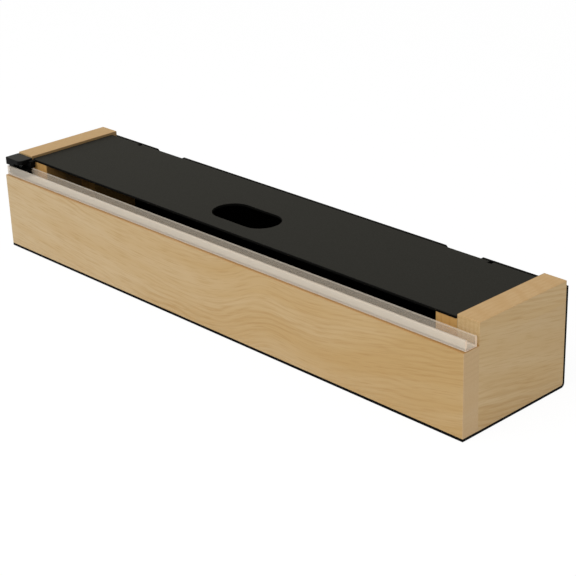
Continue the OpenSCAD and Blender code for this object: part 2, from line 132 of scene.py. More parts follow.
class OrganizerColours(bpy.types.PropertyGroup):
    """Colours of the finishes."""

    birch_pale: colour("Birch, pale", "Pale early wood of the panels", "#cfb68d")
    birch_honey: colour("Birch, honey", "Warmer areas of the panels", "#c2a06a")
    birch_line: colour("Birch, line", "Late wood lines of the panels", "#b08950")
    birch_edge: colour("Birch, edge", "Upper edges of the end panels", "#d3a872")
    # Painted shade: the top of the front panel is drawn darker and more orange, as the shadow at the track's
    # foot
    ledge_shade: colour("Birch, ledge", "Top of the front panel beside the track", "#ab7434")
    # Painted shade: the inner faces of the end panels are drawn dark brown as the shade inside the box
    birch_inner: colour("Birch, inside", "Raw inner face of the end panels", "#4d2c08")
    end_grain: colour("Birch, end grain", "Right end of the front panel", "#c8ad8a")
    block_pale: colour("Block wood, pale", "Early wood of the corner blocks", "#c8a265")
    block_honey: colour("Block wood, honey", "Warmer areas of the corner blocks", "#b98a48")
    block_line: colour("Block wood, line", "Late wood lines of the corner blocks", "#a47538")
    # Painted shade: the inner sides of the front blocks are drawn near black as the shade inside the box
    block_sawn: colour("Block, sawn side", "Rough inner side of the front blocks", "#2a1a06")
    sheet_black: colour("Sheet", "Powder coat of the folded sheet", "#030303")
    lid_black: colour("Lid", "Powder coat of the lid", "#0f0f0d")
    # Painted shade: the faces below a coated top, such as the lid's cut edges, are drawn black
    coat_edge_shade: colour("Cut edge", "Cut edges of the coated sheets", "#000000")
    hinge_black: colour("Hinge", "Blackened steel of the hinges and screws", "#1b1b1b")
    steel: colour("Steel", "Bright steel of pins and blade", "#b9bbbd")
    frosted: colour("Track", "Frosted plastic of the track", "#faeedc")
    track_cut: colour("Track, ends", "Sawn ends of the track", "#f4d9bd")
    adhesive: colour("Tape", "Adhesive tape under the track", "#d2ae7c")
    cutter_black: colour("Cutter", "Moulded plastic of the slide cutter", "#050505")
    # Painted sheen: the cutter's upper face is drawn a lighter grey for the light that it catches
    cutter_sheen: colour("Cutter, rubbed", "Upper face of the slide cutter", "#303030")
    floor: colour("Floor", "Floor of the stage", "#f4f4f4")


class OrganizerStage(bpy.types.PropertyGroup):
    """Camera and light."""

    camera_place: bpy.props.FloatVectorProperty(
        name="Camera place", description="Where the camera stands", subtype="TRANSLATION", unit="LENGTH",
        default=(0.6583556, -0.5865379, 0.4001118), precision=5)
    azimuth: bpy.props.FloatProperty(
        name="Azimuth", description="Turn of the view to the right of the front", subtype="ANGLE",
        default=math.radians(47.0907))
    elevation: bpy.props.FloatProperty(
        name="Elevation", description="Height of the view above the horizon", subtype="ANGLE",
        default=math.radians(23.7353))
    roll: bpy.props.FloatProperty(
        name="Roll", description="Lean of the camera", subtype="ANGLE", default=math.radians(-1.9632))
    lens: bpy.props.FloatProperty(
        name="Lens", description="Focal length on a 36 mm sensor", unit="CAMERA", default=98.6927)
    sky_light: bpy.props.FloatProperty(
        name="Sky", description="Strength of the even light all round", subtype="FACTOR", default=0.5)
    key_light: bpy.props.FloatProperty(
        name="Key", description="Power of the large lamp above the front", unit="POWER", default=14.5)
    fill_light: bpy.props.FloatProperty(
        name="Fill", description="Power of the lamp beside the camera", unit="POWER", default=4)


def chosen(context):
    """The sizes that are set in the scene, and the colours as plain values."""
    group = context.scene.organizer_colours
    tones = {name: tuple(getattr(group, name)) for name in OrganizerColours.__annotations__}
    return context.scene.organizer_sizes, SimpleNamespace(**tones)


# Mesh work

def only(piece):
    """Makes a piece the one selected and active object."""
    bpy.ops.object.select_all(action="DESELECT")
    piece.select_set(True)
    bpy.context.view_layer.objects.active = piece


def settle(name):
    """Names the primitive that was just added, and puts its place and size into its mesh."""
    piece = bpy.context.object
    piece.name = piece.data.name = name
    bpy.ops.object.transform_apply()
    return piece


def block(name, low, high):
    """A cube between two corners."""
    bpy.ops.object.select_all(action="DESELECT")
    low, high = Vector(low), Vector(high)
    bpy.ops.mesh.primitive_cube_add(size=1, location=(low + high) / 2)
    bpy.context.object.scale = high - low
    return settle(name)


def rod(name, middle, axis, long, radius, sides=48):
    """A cylinder along an axis."""
    bpy.ops.object.select_all(action="DESELECT")
    bpy.ops.mesh.primitive_cylinder_add(
        vertices=sides, radius=radius, depth=long, location=middle, rotation=AXIS_TURN[axis])
    return settle(name)


def apply_modifier(piece, kind, **settings):
    """Adds a modifier with its settings, and applies it."""
    only(piece)
    modifier = piece.modifiers.new(kind, kind)
    for name, value in settings.items():
        setattr(modifier, name, value)
    bpy.ops.object.modifier_apply(modifier=modifier.name)


def carve(piece, tool, operation="DIFFERENCE"):
    """Cuts another solid out of a piece, or joins it on, and removes that solid."""
    apply_modifier(piece, "BOOLEAN", object=tool, operation=operation, solver="EXACT")
    bpy.data.objects.remove(tool)


def ease(piece, radius, segments=2, degrees=40):
    """Rounds every edge that is sharper than an angle."""
    apply_modifier(piece, "BEVEL", width=radius, segments=segments, limit_method="ANGLE",
                   angle_limit=math.radians(degrees), use_clamp_overlap=True)


@contextmanager
def editing(piece):
    """Edit mode on one piece, with nothing selected at first."""
    only(piece)
    bpy.ops.object.mode_set(mode="EDIT")
    bpy.ops.mesh.select_mode(type="EDGE")
    bpy.ops.mesh.select_all(action="DESELECT")
    yield bmesh.from_edit_mesh(piece.data)
    bpy.ops.object.mode_set(mode="OBJECT")


def round_edges(piece, radius, wanted, segments=3):
    """Bevels the edges whose two ends together are wanted."""
    with editing(piece) as shape:
        for edge in shape.edges:
            if wanted(edge.verts[0].co, edge.verts[1].co):
                edge.select_set(True)
        bmesh.update_edit_mesh(piece.data)
        bpy.ops.mesh.bevel(offset=radius, segments=segments, affect="EDGES")


def near(value, target):
    """Whether two places are the same to a hundredth of a millimetre."""
    return abs(value - target) < 0.01 * MM


def round_bend_corner(piece, radius, low, high):
    """Rounds the lower rear edge of a wooden piece, so that it fits inside the sheet's bend."""
    round_edges(piece, radius, lambda a, b: all(near(p.y, high.y) and near(p.z, low.z) for p in (a, b)),
                segments=8)


def join(pieces, name):
    """Joins pieces into one object."""
    only(pieces[0])
    for piece in pieces:
        piece.select_set(True)
    bpy.ops.object.join()
    pieces[0].name = pieces[0].data.name = name
    return pieces[0]


def copies(model, places, name):
    """A copy of a model, with its own mesh, at each place, all joined. The model itself is removed."""
    made = []
    for place in places:
        only(model)
        bpy.ops.object.duplicate(linked=False)
        copy = bpy.context.object
        copy.location = place
        bpy.ops.object.transform_apply()
        made.append(copy)
    bpy.data.objects.remove(model)
    return join(made, name)


def solids_of(node):
    """The box of each separate solid in a node of the construction, from left to right."""
    shape = bmesh.new()
    shape.from_mesh(frame["nodes"][node].data)
    bmesh.ops.remove_doubles(shape, verts=shape.verts, dist=0.001 * MM)
    waiting = set(shape.verts)
    found = []
    while waiting:
        solid = set()
        reached = [waiting.pop()]
        while reached:
            vert = reached.pop()
            solid.add(vert)
            fresh = {edge.other_vert(vert) for edge in vert.link_edges} & waiting
            waiting -= fresh
            reached.extend(fresh)
        low = Vector(min(vert.co[i] for vert in solid) for i in range(3))
        high = Vector(max(vert.co[i] for vert in solid) for i in range(3))
        found.append((low, high))
    shape.free()
    return sorted(found, key=lambda corners: tuple(corners[0]))


def hand_over(piece, node, material):
    """Smooths a finished piece, gives it its material, puts it on that node's body and hides the node that
    it stands for.
    """
    only(piece)
    bpy.ops.object.shade_smooth_by_angle(angle=math.radians(40))
    apply_modifier(piece, "WEIGHTED_NORMAL", keep_sharp=True)
    piece.data.materials.clear()
    piece.data.materials.append(material)
    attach(piece, BODY_OF[node])
    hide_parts(node)


def dress(node, material):
    """Gives a node of the construction, whose shape is right as it is, its material."""
    slots = frame["nodes"][node].data.materials
    slots.clear()
    slots.append(material)


# Materials

# Sockets of a Mix node, which has a pair of inputs for each kind of value
SHARE = 0
VALUE_A, VALUE_B = 2, 3
TONE_A, TONE_B = 6, 7

# Birch: how wide the turn of the figure's valley is, and how far apart late wood lines and growth rings lie
VALLEY_ROUND = 60 * MM
LINE_SPACING = 3.2 * MM
RING_SPACING = 2.7 * MM
# How far slow swells and short ripples push the lines and the rings out of true
LINE_SWELL = 9 * MM
LINE_RIPPLE = 10 * MM
RING_SWELL = 4 * MM
PATCH_START = (0.7, 0.2, 0.4)


def add_node(tree, kind, inputs=None, **settings):
    """Adds a shader node with its settings, and fills its sockets with values or with links."""
    made = tree.nodes.new("ShaderNode" + kind)
    for name, value in settings.items():
        setattr(made, name, value)
    for socket, value in (inputs or {}).items():
        if isinstance(value, bpy.types.Node):
            value = next(output for output in value.outputs if output.enabled)
        if isinstance(value, bpy.types.NodeSocket):
            tree.links.new(value, made.inputs[socket])
        else:
            made.inputs[socket].default_value = value
    return made


def new_material(name):
    """An empty node material, its tree, and its Object coordinates."""
    material = bpy.data.materials.new(name)
    material.use_nodes = True
    tree = material.node_tree
    tree.nodes.clear()
    return material, tree, add_node(tree, "TexCoord").outputs["Object"]


def finish_material(material, inputs):
    """Ends a material in one principled shader, and gives it back."""
    shader = add_node(material.node_tree, "BsdfPrincipled", inputs)
    add_node(material.node_tree, "OutputMaterial", {"Surface": shader})
    return material


def per_mm(along, across, deep):
    """Mapping scales for a pattern whose features have these sizes in millimetres."""
    return (1 / (along * MM), 1 / (across * MM), 1 / (deep * MM))


def shaded(tone, share):
    """A colour made darker or lighter by a share."""
    return tuple(channel * share for channel in tone[:3]) + (1.0,)


class Figure(NamedTuple):
    """How the grain of a board runs: along the turned X axis, from a start in the patterns. Its lines dip by
    the valley towards the middle of the length, and rise into an arch, given as its place, rise and half
    width. The wood warms by the drift along the grain, and the ring share says how much the growth rings
    show."""

    turn: tuple
    start: tuple
    ring_share: float
    valley: float = 0.0
    arch: tuple = (0.0, 0.0, 1.0)
    drift: float = 0.0


def figure_height(tree, along, up, figure):
    """The height that a figure's lines are level in: the true one, changed by the valley and the arch."""
    square = add_node(tree, "Math", {0: along, 1: along, 2: VALLEY_ROUND ** 2}, operation="MULTIPLY_ADD")
    reach = add_node(tree, "Math", {0: square}, operation="SQRT")
    dipped = add_node(tree, "Math", {0: reach, 1: -figure.valley, 2: up}, operation="MULTIPLY_ADD")
    middle, rise, half_width = figure.arch
    away = add_node(tree, "Math", {0: along, 1: middle}, operation="SUBTRACT")
    away = add_node(tree, "Math", {0: away, 1: half_width}, operation="DIVIDE")
    falling = add_node(tree, "Math", {0: away, 1: away}, operation="MULTIPLY")
    falling = add_node(tree, "Math", {0: falling, 1: -1.0}, operation="MULTIPLY")
    hump = add_node(tree, "Math", {0: falling}, operation="EXPONENT")
    return add_node(tree, "Math", {0: hump, 1: -rise, 2: dipped}, operation="MULTIPLY_ADD")


def birch(name, tones, figure, cuts):
    """Planed birch: pale early wood with warmer bands, fine late wood lines that fade in and out, and short
    fibres, all silky under a thin clear lacquer. Faces given as an axis, a place and a tone are tinted: some
    in the wood's own tone, such as end grain, and some with painted shade, such as inner faces."""
    pale, honey, line = tones
    material, tree, place = new_material(name)
    grain = add_node(tree, "Mapping", {"Vector": place, "Rotation": figure.turn})
    along, deep, up = add_node(tree, "SeparateXYZ", {"Vector": grain}).outputs
    height = figure_height(tree, along, up, figure)
    flow = add_node(tree, "CombineXYZ", {0: along, 1: deep, 2: height})
    # Each pattern's start, its size in mm along the grain, through the board and up, and its detail.
    # Fibres are about 0.1 mm wide, and drawn eight times as coarse so that they show.
    patterns = {
        "swell": (figure.start, (150, 60, 30), 2.0),
        "bands": (figure.start, (130, 40, 14), 3.0),
        "ripple": (figure.start, (45, 40, 20), 1.0),
        "patches": (PATCH_START, (90, 50, 22), 2.0),
        "fibre": (figure.start, (16, 0.8, 0.8), 2.0),
    }
    noise = {}
    for pattern, (start, sizes_mm, detail) in patterns.items():
        space = add_node(tree, "Mapping", {"Vector": flow, "Location": start, "Scale": per_mm(*sizes_mm)})
        noise[pattern] = add_node(tree, "TexNoise", {"Vector": space, "Scale": 1.0, "Detail": detail})
    # Broad bands of warmer wood
    warm = add_node(tree, "MapRange", {"Value": noise["bands"], "From Min": 0.3, "From Max": 0.7,
                                       "To Min": 0.2, "To Max": 0.8})
    warm = add_node(tree, "Math", {0: along, 1: figure.drift, 2: warm}, operation="MULTIPLY_ADD")
    # Late wood lines along the figure, in patches
    phase = add_node(tree, "Math", {0: noise["swell"], 1: LINE_SWELL, 2: height}, operation="MULTIPLY_ADD")
    phase = add_node(tree, "Math", {0: noise["ripple"], 1: LINE_RIPPLE, 2: phase}, operation="MULTIPLY_ADD")
    phase = add_node(tree, "Math", {0: phase, 1: 2 * math.pi / LINE_SPACING}, operation="MULTIPLY")
    wave = add_node(tree, "Math", {0: phase}, operation="SINE")
    crest = add_node(tree, "MapRange", {"Value": wave, "From Min": -0.2})
    patch = add_node(tree, "MapRange", {"Value": noise["patches"], "From Min": 0.42, "From Max": 0.7,
                                        "To Max": 0.42})
    lines = add_node(tree, "Math", {0: crest, 1: patch}, operation="MULTIPLY")
    # Growth rings lie through the board, so they stripe its edges
    layer = add_node(tree, "Math", {0: noise["swell"], 1: RING_SWELL, 2: deep}, operation="MULTIPLY_ADD")
    layer = add_node(tree, "Math", {0: layer, 1: 2 * math.pi / RING_SPACING}, operation="MULTIPLY")
    ring = add_node(tree, "Math", {0: layer}, operation="SINE")
    rings = add_node(tree, "MapRange", {"Value": ring, "From Min": -1, "To Max": figure.ring_share})
    fibres = add_node(tree, "MapRange", {"Value": noise["fibre"], "From Min": 0.5, "From Max": 0.8,
                                         "To Max": 0.6})
    tints = [(warm, honey), (lines, line), (rings, line), (fibres, line)]
    # Tinted faces: end grain and upper edges in the wood's own tones, inner faces and the top beside the
    # track in painted shade
    spot = add_node(tree, "SeparateXYZ", {"Vector": place}).outputs
    for axis, limit, tone in cuts:
        away = add_node(tree, "Math", {0: spot[axis], 1: limit}, operation="SUBTRACT")
        away = add_node(tree, "Math", {0: away}, operation="ABSOLUTE")
        cut = add_node(tree, "MapRange", {"Value": away, "From Min": 0.4 * MM, "From Max": 0.2 * MM,
                                          "To Max": 0.5})
        tints.append((cut, tone))
    # Each tint lies over those before it
    wood = pale
    for share, tone in tints:
        wood = add_node(tree, "Mix", {SHARE: share, TONE_A: wood, TONE_B: tone}, data_type="RGBA")
    rough = add_node(tree, "MapRange", {"Value": noise["fibre"], "To Min": 0.48, "To Max": 0.6})
    bump = add_node(tree, "Bump", {"Height": noise["fibre"], "Strength": 0.12, "Distance": 0.05 * MM})
    return finish_material(material, {"Base Color": wood, "Roughness": rough, "Normal": bump,
                                      "Specular IOR Level": 0.3})


def powder_coat(name, base, edge, sheen, face):
    """Matte polyester powder coat on sheet steel: an even, dark skin with a fine orange peel. Below the
    height face, faces such as a lid's cut edges and underside are painted black and dull as shade."""
    material, tree, place = new_material(name)
    # The peel of a real coat is about 0.6 mm wide
    peel_space = add_node(tree, "Mapping", {"Vector": place, "Scale": per_mm(0.6, 0.6, 0.6)})
    peel = add_node(tree, "TexNoise", {"Vector": peel_space, "Scale": 1.0, "Detail": 1.0})
    cloud_space = add_node(tree, "Mapping", {"Vector": place, "Scale": per_mm(70, 45, 45)})
    cloud = add_node(tree, "TexNoise", {"Vector": cloud_space, "Scale": 1.0, "Detail": 3.0})
    skin = add_node(tree, "Mix", {SHARE: cloud, TONE_A: base, TONE_B: shaded(base, 1.25)}, data_type="RGBA")
    height = add_node(tree, "SeparateXYZ", {"Vector": place}).outputs["Z"]
    # Painted shade: below the face height the coat is drawn black and dull
    upper = add_node(tree, "MapRange", {"Value": height, "From Min": face - 0.4 * MM,
                                        "From Max": face - 0.2 * MM})
    coat = add_node(tree, "Mix", {SHARE: upper, TONE_A: edge, TONE_B: skin}, data_type="RGBA")
    smooth = add_node(tree, "MapRange", {"Value": peel, "To Min": 0.5, "To Max": 0.64})
    rough = add_node(tree, "Mix", {SHARE: upper, VALUE_A: 1.0, VALUE_B: smooth})
    bump = add_node(tree, "Bump", {"Height": peel, "Strength": 0.1, "Distance": 0.02 * MM})
    return finish_material(material, {"Base Color": coat, "Roughness": rough, "Normal": bump,
                                      "Specular IOR Level": sheen})


def frosted_acrylic(name, base, cut, low, high, floor_top):
    """Extruded acrylic between two corners, milky and half see-through, with faint die lines along its
    length. Its walls are the clearest, its front and its upper rims are frosted more, and its floor and sawn
    ends most."""
    material, tree, place = new_material(name)
    lines_space = add_node(tree, "Mapping", {"Vector": place, "Scale": per_mm(60, 1.5, 1.5)})
    lines = add_node(tree, "TexNoise", {"Vector": lines_space, "Scale": 1.0, "Detail": 1.0})
    skin = add_node(tree, "Mix", {SHARE: lines, TONE_A: shaded(base, 0.94), TONE_B: base}, data_type="RGBA")
    x, y, z = add_node(tree, "SeparateXYZ", {"Vector": place}).outputs
    # Each zone's axis, where on it the zone starts, and where it is complete
    zones = {
        "left_end": (x, low.x + 0.4 * MM, low.x + 0.1 * MM),
        "right_end": (x, high.x - 0.4 * MM, high.x - 0.1 * MM),
        "front": (y, low.y + 0.3 * MM, low.y + 0.1 * MM),
        "floor": (z, floor_top + 0.3 * MM, floor_top + 0.1 * MM),
        "foot": (z, floor_top + 0.7 * MM, floor_top + 0.1 * MM),
        "rims": (z, high.z - 0.35 * MM, high.z - 0.1 * MM),
    }
    within = {zone: add_node(tree, "MapRange", {"Value": axis, "From Min": start, "From Max": end})
              for zone, (axis, start, end) in zones.items()}
    ends = add_node(tree, "Math", {0: within["left_end"], 1: within["right_end"]}, operation="MAXIMUM")
    tint = add_node(tree, "Mix", {SHARE: ends, TONE_A: skin, TONE_B: cut}, data_type="RGBA")
    # How much each zone covers of what is behind it
    inside = add_node(tree, "MapRange", {"Value": within["floor"], "To Min": 0.2, "To Max": 0.66})
    outside = add_node(tree, "MapRange", {"Value": within["foot"], "To Min": 0.36, "To Max": 0.53})
    cover = add_node(tree, "Mix", {SHARE: within["front"], VALUE_A: inside, VALUE_B: outside})
    cover = add_node(tree, "Mix", {SHARE: within["rims"], VALUE_A: cover, VALUE_B: 0.45})
    cover = add_node(tree, "Mix", {SHARE: ends, VALUE_A: cover, VALUE_B: 0.65})
    return finish_material(material, {"Base Color": tint, "Roughness": 0.3, "IOR": 1.49, "Alpha": cover})


def moulded_abs(name, base, sheen_tone, top):
    """Injection-moulded ABS with a fine spark-eroded texture that dulls its gloss. Its upper face, at the
    height top, is painted a lighter grey as a sheen, broken up by the texture."""
    material, tree, place = new_material(name)
    # The texture's grit is about 0.1 mm, and drawn three times as coarse so that it shows
    grit_space = add_node(tree, "Mapping", {"Vector": place, "Scale": per_mm(0.3, 0.3, 0.3)})
    grit = add_node(tree, "TexNoise", {"Vector": grit_space, "Scale": 1.0, "Detail": 2.0})
    height = add_node(tree, "SeparateXYZ", {"Vector": place}).outputs["Z"]
    # Painted sheen on the upper face, broken up by the grit
    top_sheen = add_node(tree, "MapRange", {"Value": height, "From Min": top - 0.3 * MM,
                                         "From Max": top - 0.05 * MM})
    share = add_node(tree, "Math", {0: grit, 1: 0.6, 2: top_sheen}, operation="MULTIPLY_ADD")
    sheen_share = add_node(tree, "Math", {0: share, 1: top_sheen}, operation="MULTIPLY")
    skin = add_node(tree, "Mix", {SHARE: sheen_share, TONE_A: base, TONE_B: sheen_tone}, data_type="RGBA")
    rough = add_node(tree, "MapRange", {"Value": grit, "To Min": 0.4, "To Max": 0.6})
    bump = add_node(tree, "Bump", {"Height": grit, "Strength": 0.15, "Distance": 0.02 * MM})
    return finish_material(material, {"Base Color": skin, "Roughness": rough, "Normal": bump,
                                      "Specular IOR Level": 0.06})


def drawn_steel(name, base, metallic, roughness):
    """Cold-drawn or blackened steel, with fine marks along the length that it was drawn in."""
    material, tree, place = new_material(name)
    marks_space = add_node(tree, "Mapping", {"Vector": place, "Scale": per_mm(6, 0.25, 0.25)})
    marks = add_node(tree, "TexNoise", {"Vector": marks_space, "Scale": 1.0, "Detail": 2.0})
    skin = add_node(tree, "Mix", {SHARE: marks, TONE_A: shaded(base, 0.8), TONE_B: base}, data_type="RGBA")
    spread = 0.08
    rough = add_node(tree, "MapRange", {"Value": marks, "To Min": roughness - spread,
                                        "To Max": roughness + spread})
    bump = add_node(tree, "Bump", {"Height": marks, "Strength": 0.08, "Distance": 0.01 * MM})
    return finish_material(material, {"Base Color": skin, "Metallic": metallic, "Roughness": rough,
                                      "Normal": bump})


def adhesive_tape(name, base):
    """Pale transfer tape: soft, slightly glossy adhesive with cloudy patches."""
    material, tree, place = new_material(name)
    cloud_space = add_node(tree, "Mapping", {"Vector": place, "Scale": per_mm(4, 2, 2)})
    cloud = add_node(tree, "TexNoise", {"Vector": cloud_space, "Scale": 1.0, "Detail": 2.0})
    skin = add_node(tree, "Mix", {SHARE: cloud, TONE_A: shaded(base, 0.7), TONE_B: base}, data_type="RGBA")
    rough = add_node(tree, "MapRange", {"Value": cloud, "To Min": 0.3, "To Max": 0.5})
    return finish_material(material, {"Base Color": skin, "Roughness": rough})


def shared(maker, name, *values):
    """A material by its name, made the first time that it is asked for."""
    return bpy.data.materials.get(name) or maker(name, *values)


def panel_tones(colours):
    """Early wood, warmer wood and late wood of the panels."""
    return colours.birch_pale, colours.birch_honey, colours.birch_line


def block_wood(colours):
    """Sawn birch of the corner blocks and dowels, warmer than the panels, with its grain upright."""
    tones = (colours.block_pale, colours.block_honey, colours.block_line)
    figure = Figure(turn=(0, math.pi / 2, 0), start=(0.05, 0.02, 0.3), ring_share=0.2)
    # The inner sides of the front blocks are painted near black as shade
    cuts = (("X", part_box("left_front_block")[1].x, colours.block_sawn),
            ("X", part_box("right_front_block")[0].x, colours.block_sawn))
    return shared(birch, "sawn_birch_blocks", tones, figure, cuts)


def blackened_steel(colours):
    """Dark oxide over steel: half metallic and dull."""
    metallic, roughness = 0.6, 0.42
    return shared(drawn_steel, "blackened_steel", colours.hinge_black, metallic, roughness)


def bright_steel(colours):
    """Bare drawn steel, with a soft shine."""
    metallic, roughness = 1.0, 0.28
    return shared(drawn_steel, "bright_drawn_steel", colours.steel, metallic, roughness)


# Pieces

class ORGANIZER_OT_front_panel(bpy.types.Operator):
    """Adds the front panel, with its open edges eased and its glued edges square."""

    bl_idname = "organizer.front_panel"
    bl_label = "Front Panel"

    def execute(self, context):
        sizes, colours = chosen(context)
        low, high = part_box("front_panel")
        panel = block("front_panel_finished", low, high)
        round_edges(panel, sizes.panel_edge, lambda a, b: not (near(a.y, high.y) and near(b.y, high.y)))
        figure = Figure(turn=(0, math.radians(3.6), 0), start=(0.31, 0.02, 1.14), ring_share=0.08,
                        valley=0.17, arch=(54 * MM, 10 * MM, 28 * MM), drift=2.2)
        # The end grain is the wood's own tone; the top beside the track is painted darker as the shadow at
        # the track's foot
        cuts = (("X", high.x, colours.end_grain), ("Z", high.z, colours.ledge_shade))
        wood = shared(birch, "lacquered_birch_front", panel_tones(colours), figure, cuts)
        hand_over(panel, "front_panel", wood)
        return {"FINISHED"}


class ORGANIZER_OT_end_panels(bpy.types.Operator):
    """Adds the end panels, square where the front panel is glued on and round inside the sheet's bend."""

    bl_idname = "organizer.end_panels"
    bl_label = "End Panels"

    def execute(self, context):
        sizes, colours = chosen(context)
        front_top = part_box("front_panel")[1].z
        starts = {"left": (0.42, 0.115, 0.23), "right": (0.11, 0.061, 0.52)}
        for side in SIDES:
            node = side + "_end_panel"
            low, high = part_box(node)
            panel = block(node + "_finished", low, high)
            with editing(panel):
                bpy.ops.mesh.select_all(action="SELECT")
                bpy.ops.mesh.bisect(plane_co=(0, 0, front_top), plane_no=(0, 0, 1))
            round_bend_corner(panel, sizes.bend_corner, low, high)
            round_edges(panel, sizes.panel_edge,
                        lambda a, b: min(a.z, b.z) > front_top - MM and max(a.z, b.z) > front_top + MM)
            figure = Figure(turn=(math.radians(11), 0, -math.pi / 2), start=starts[side], ring_share=0.25)
            inner_face = high.x if side == "left" else low.x
            # The upper edge is the wood's own tone; the inner face is painted dark as the shade inside the
            # box
            cuts = (("Z", high.z, colours.birch_edge), ("X", inner_face, colours.birch_inner))
            wood = shared(birch, "lacquered_birch_" + side, panel_tones(colours), figure, cuts)
            hand_over(panel, node, wood)
        return {"FINISHED"}


class ORGANIZER_OT_corner_blocks(bpy.types.Operator):
    """Adds the four corner blocks that carry the lid."""

    bl_idname = "organizer.corner_blocks"
    bl_label = "Corner Blocks"

    def execute(self, context):
        sizes, colours = chosen(context)
        past = Vector((MM, MM, MM))
        for side in SIDES:
            for end in ("front", "rear"):
                node = f"{side}_{end}_block"
                low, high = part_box(node)
                piece = block(node + "_finished", low, high)
                if end == "rear":
                    rebate_low = (low.x - MM, high.y - sizes.rebate_depth, high.z - sizes.rebate_height)
                    carve(piece, block("rebate", rebate_low, high + past))
                    round_bend_corner(piece, sizes.bend_corner, low, high)
                round_edges(piece, sizes.block_edge,
                            lambda a, b: near(a.z, high.z) and near(b.z, high.z)
                            or near(a.y, low.y) and near(b.y, low.y) and not near(a.z, b.z))
                hand_over(piece, node, block_wood(colours))
        return {"FINISHED"}


class ORGANIZER_OT_folded_sheet(bpy.types.Operator):
    """Finishes the folded sheet that is the base and the back."""

    bl_idname = "organizer.folded_sheet"
    bl_label = "Folded Sheet"

    def execute(self, context):
        colours = chosen(context)[1]
        sheen = 0.03
        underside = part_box("base_back_sheet")[0].z
        coat = shared(powder_coat, "black_powder_coat", colours.sheet_black, colours.coat_edge_shade,
                      sheen, underside)
        dress("base_back_sheet", coat)
        return {"FINISHED"}


class ORGANIZER_OT_lid(bpy.types.Operator):
    """Adds the sheet lid with its finger hole and relief slots."""

    bl_idname = "organizer.lid"
    bl_label = "Lid"

    def execute(self, context):
        sizes, colours = chosen(context)
        low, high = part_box("lid")
        lid = block("lid_finished", low, high)
        round_edges(lid, sizes.lid_corner, lambda a, b: not near(a.z, b.z), segments=6)
        carve(lid, self.finger_hole(sizes, low, high))
        half = sizes.slot_width / 2
        for x in (low.x + sizes.slot_inset, high.x - sizes.slot_inset):
            carve(lid, block("slot", (x - half, high.y - sizes.slot_depth, low.z - MM),
                             (x + half, high.y + MM, high.z + MM)))
        ease(lid, sizes.lid_edge, segments=3, degrees=60)
        sheen = 0.12
        coat = shared(powder_coat, "charcoal_powder_coat", colours.lid_black, colours.coat_edge_shade,
                      sheen, high.z)
        hand_over(lid, "lid", coat)
        return {"FINISHED"}

    def finger_hole(self, sizes, low, high):
        """A tall oval: a cylinder with its right half pulled out to the right."""
        middle = Vector(((low.x + high.x) / 2, low.y + sizes.finger_setback, high.z))
        straight = sizes.finger_length - sizes.finger_width
        left = middle - Vector((straight / 2, 0, 0))
        tall = 20 * MM
        hole = rod("finger_hole", left, "Z", tall, sizes.finger_width / 2, sides=96)
        with editing(hole) as shape:
            for vert in shape.verts:
                vert.select_set(vert.co.x > left.x + 0.01 * MM)
            bpy.ops.mesh.select_mode(type="VERT")
            bmesh.update_edit_mesh(hole.data)
            bpy.ops.transform.translate(value=(straight, 0, 0))
        return hole


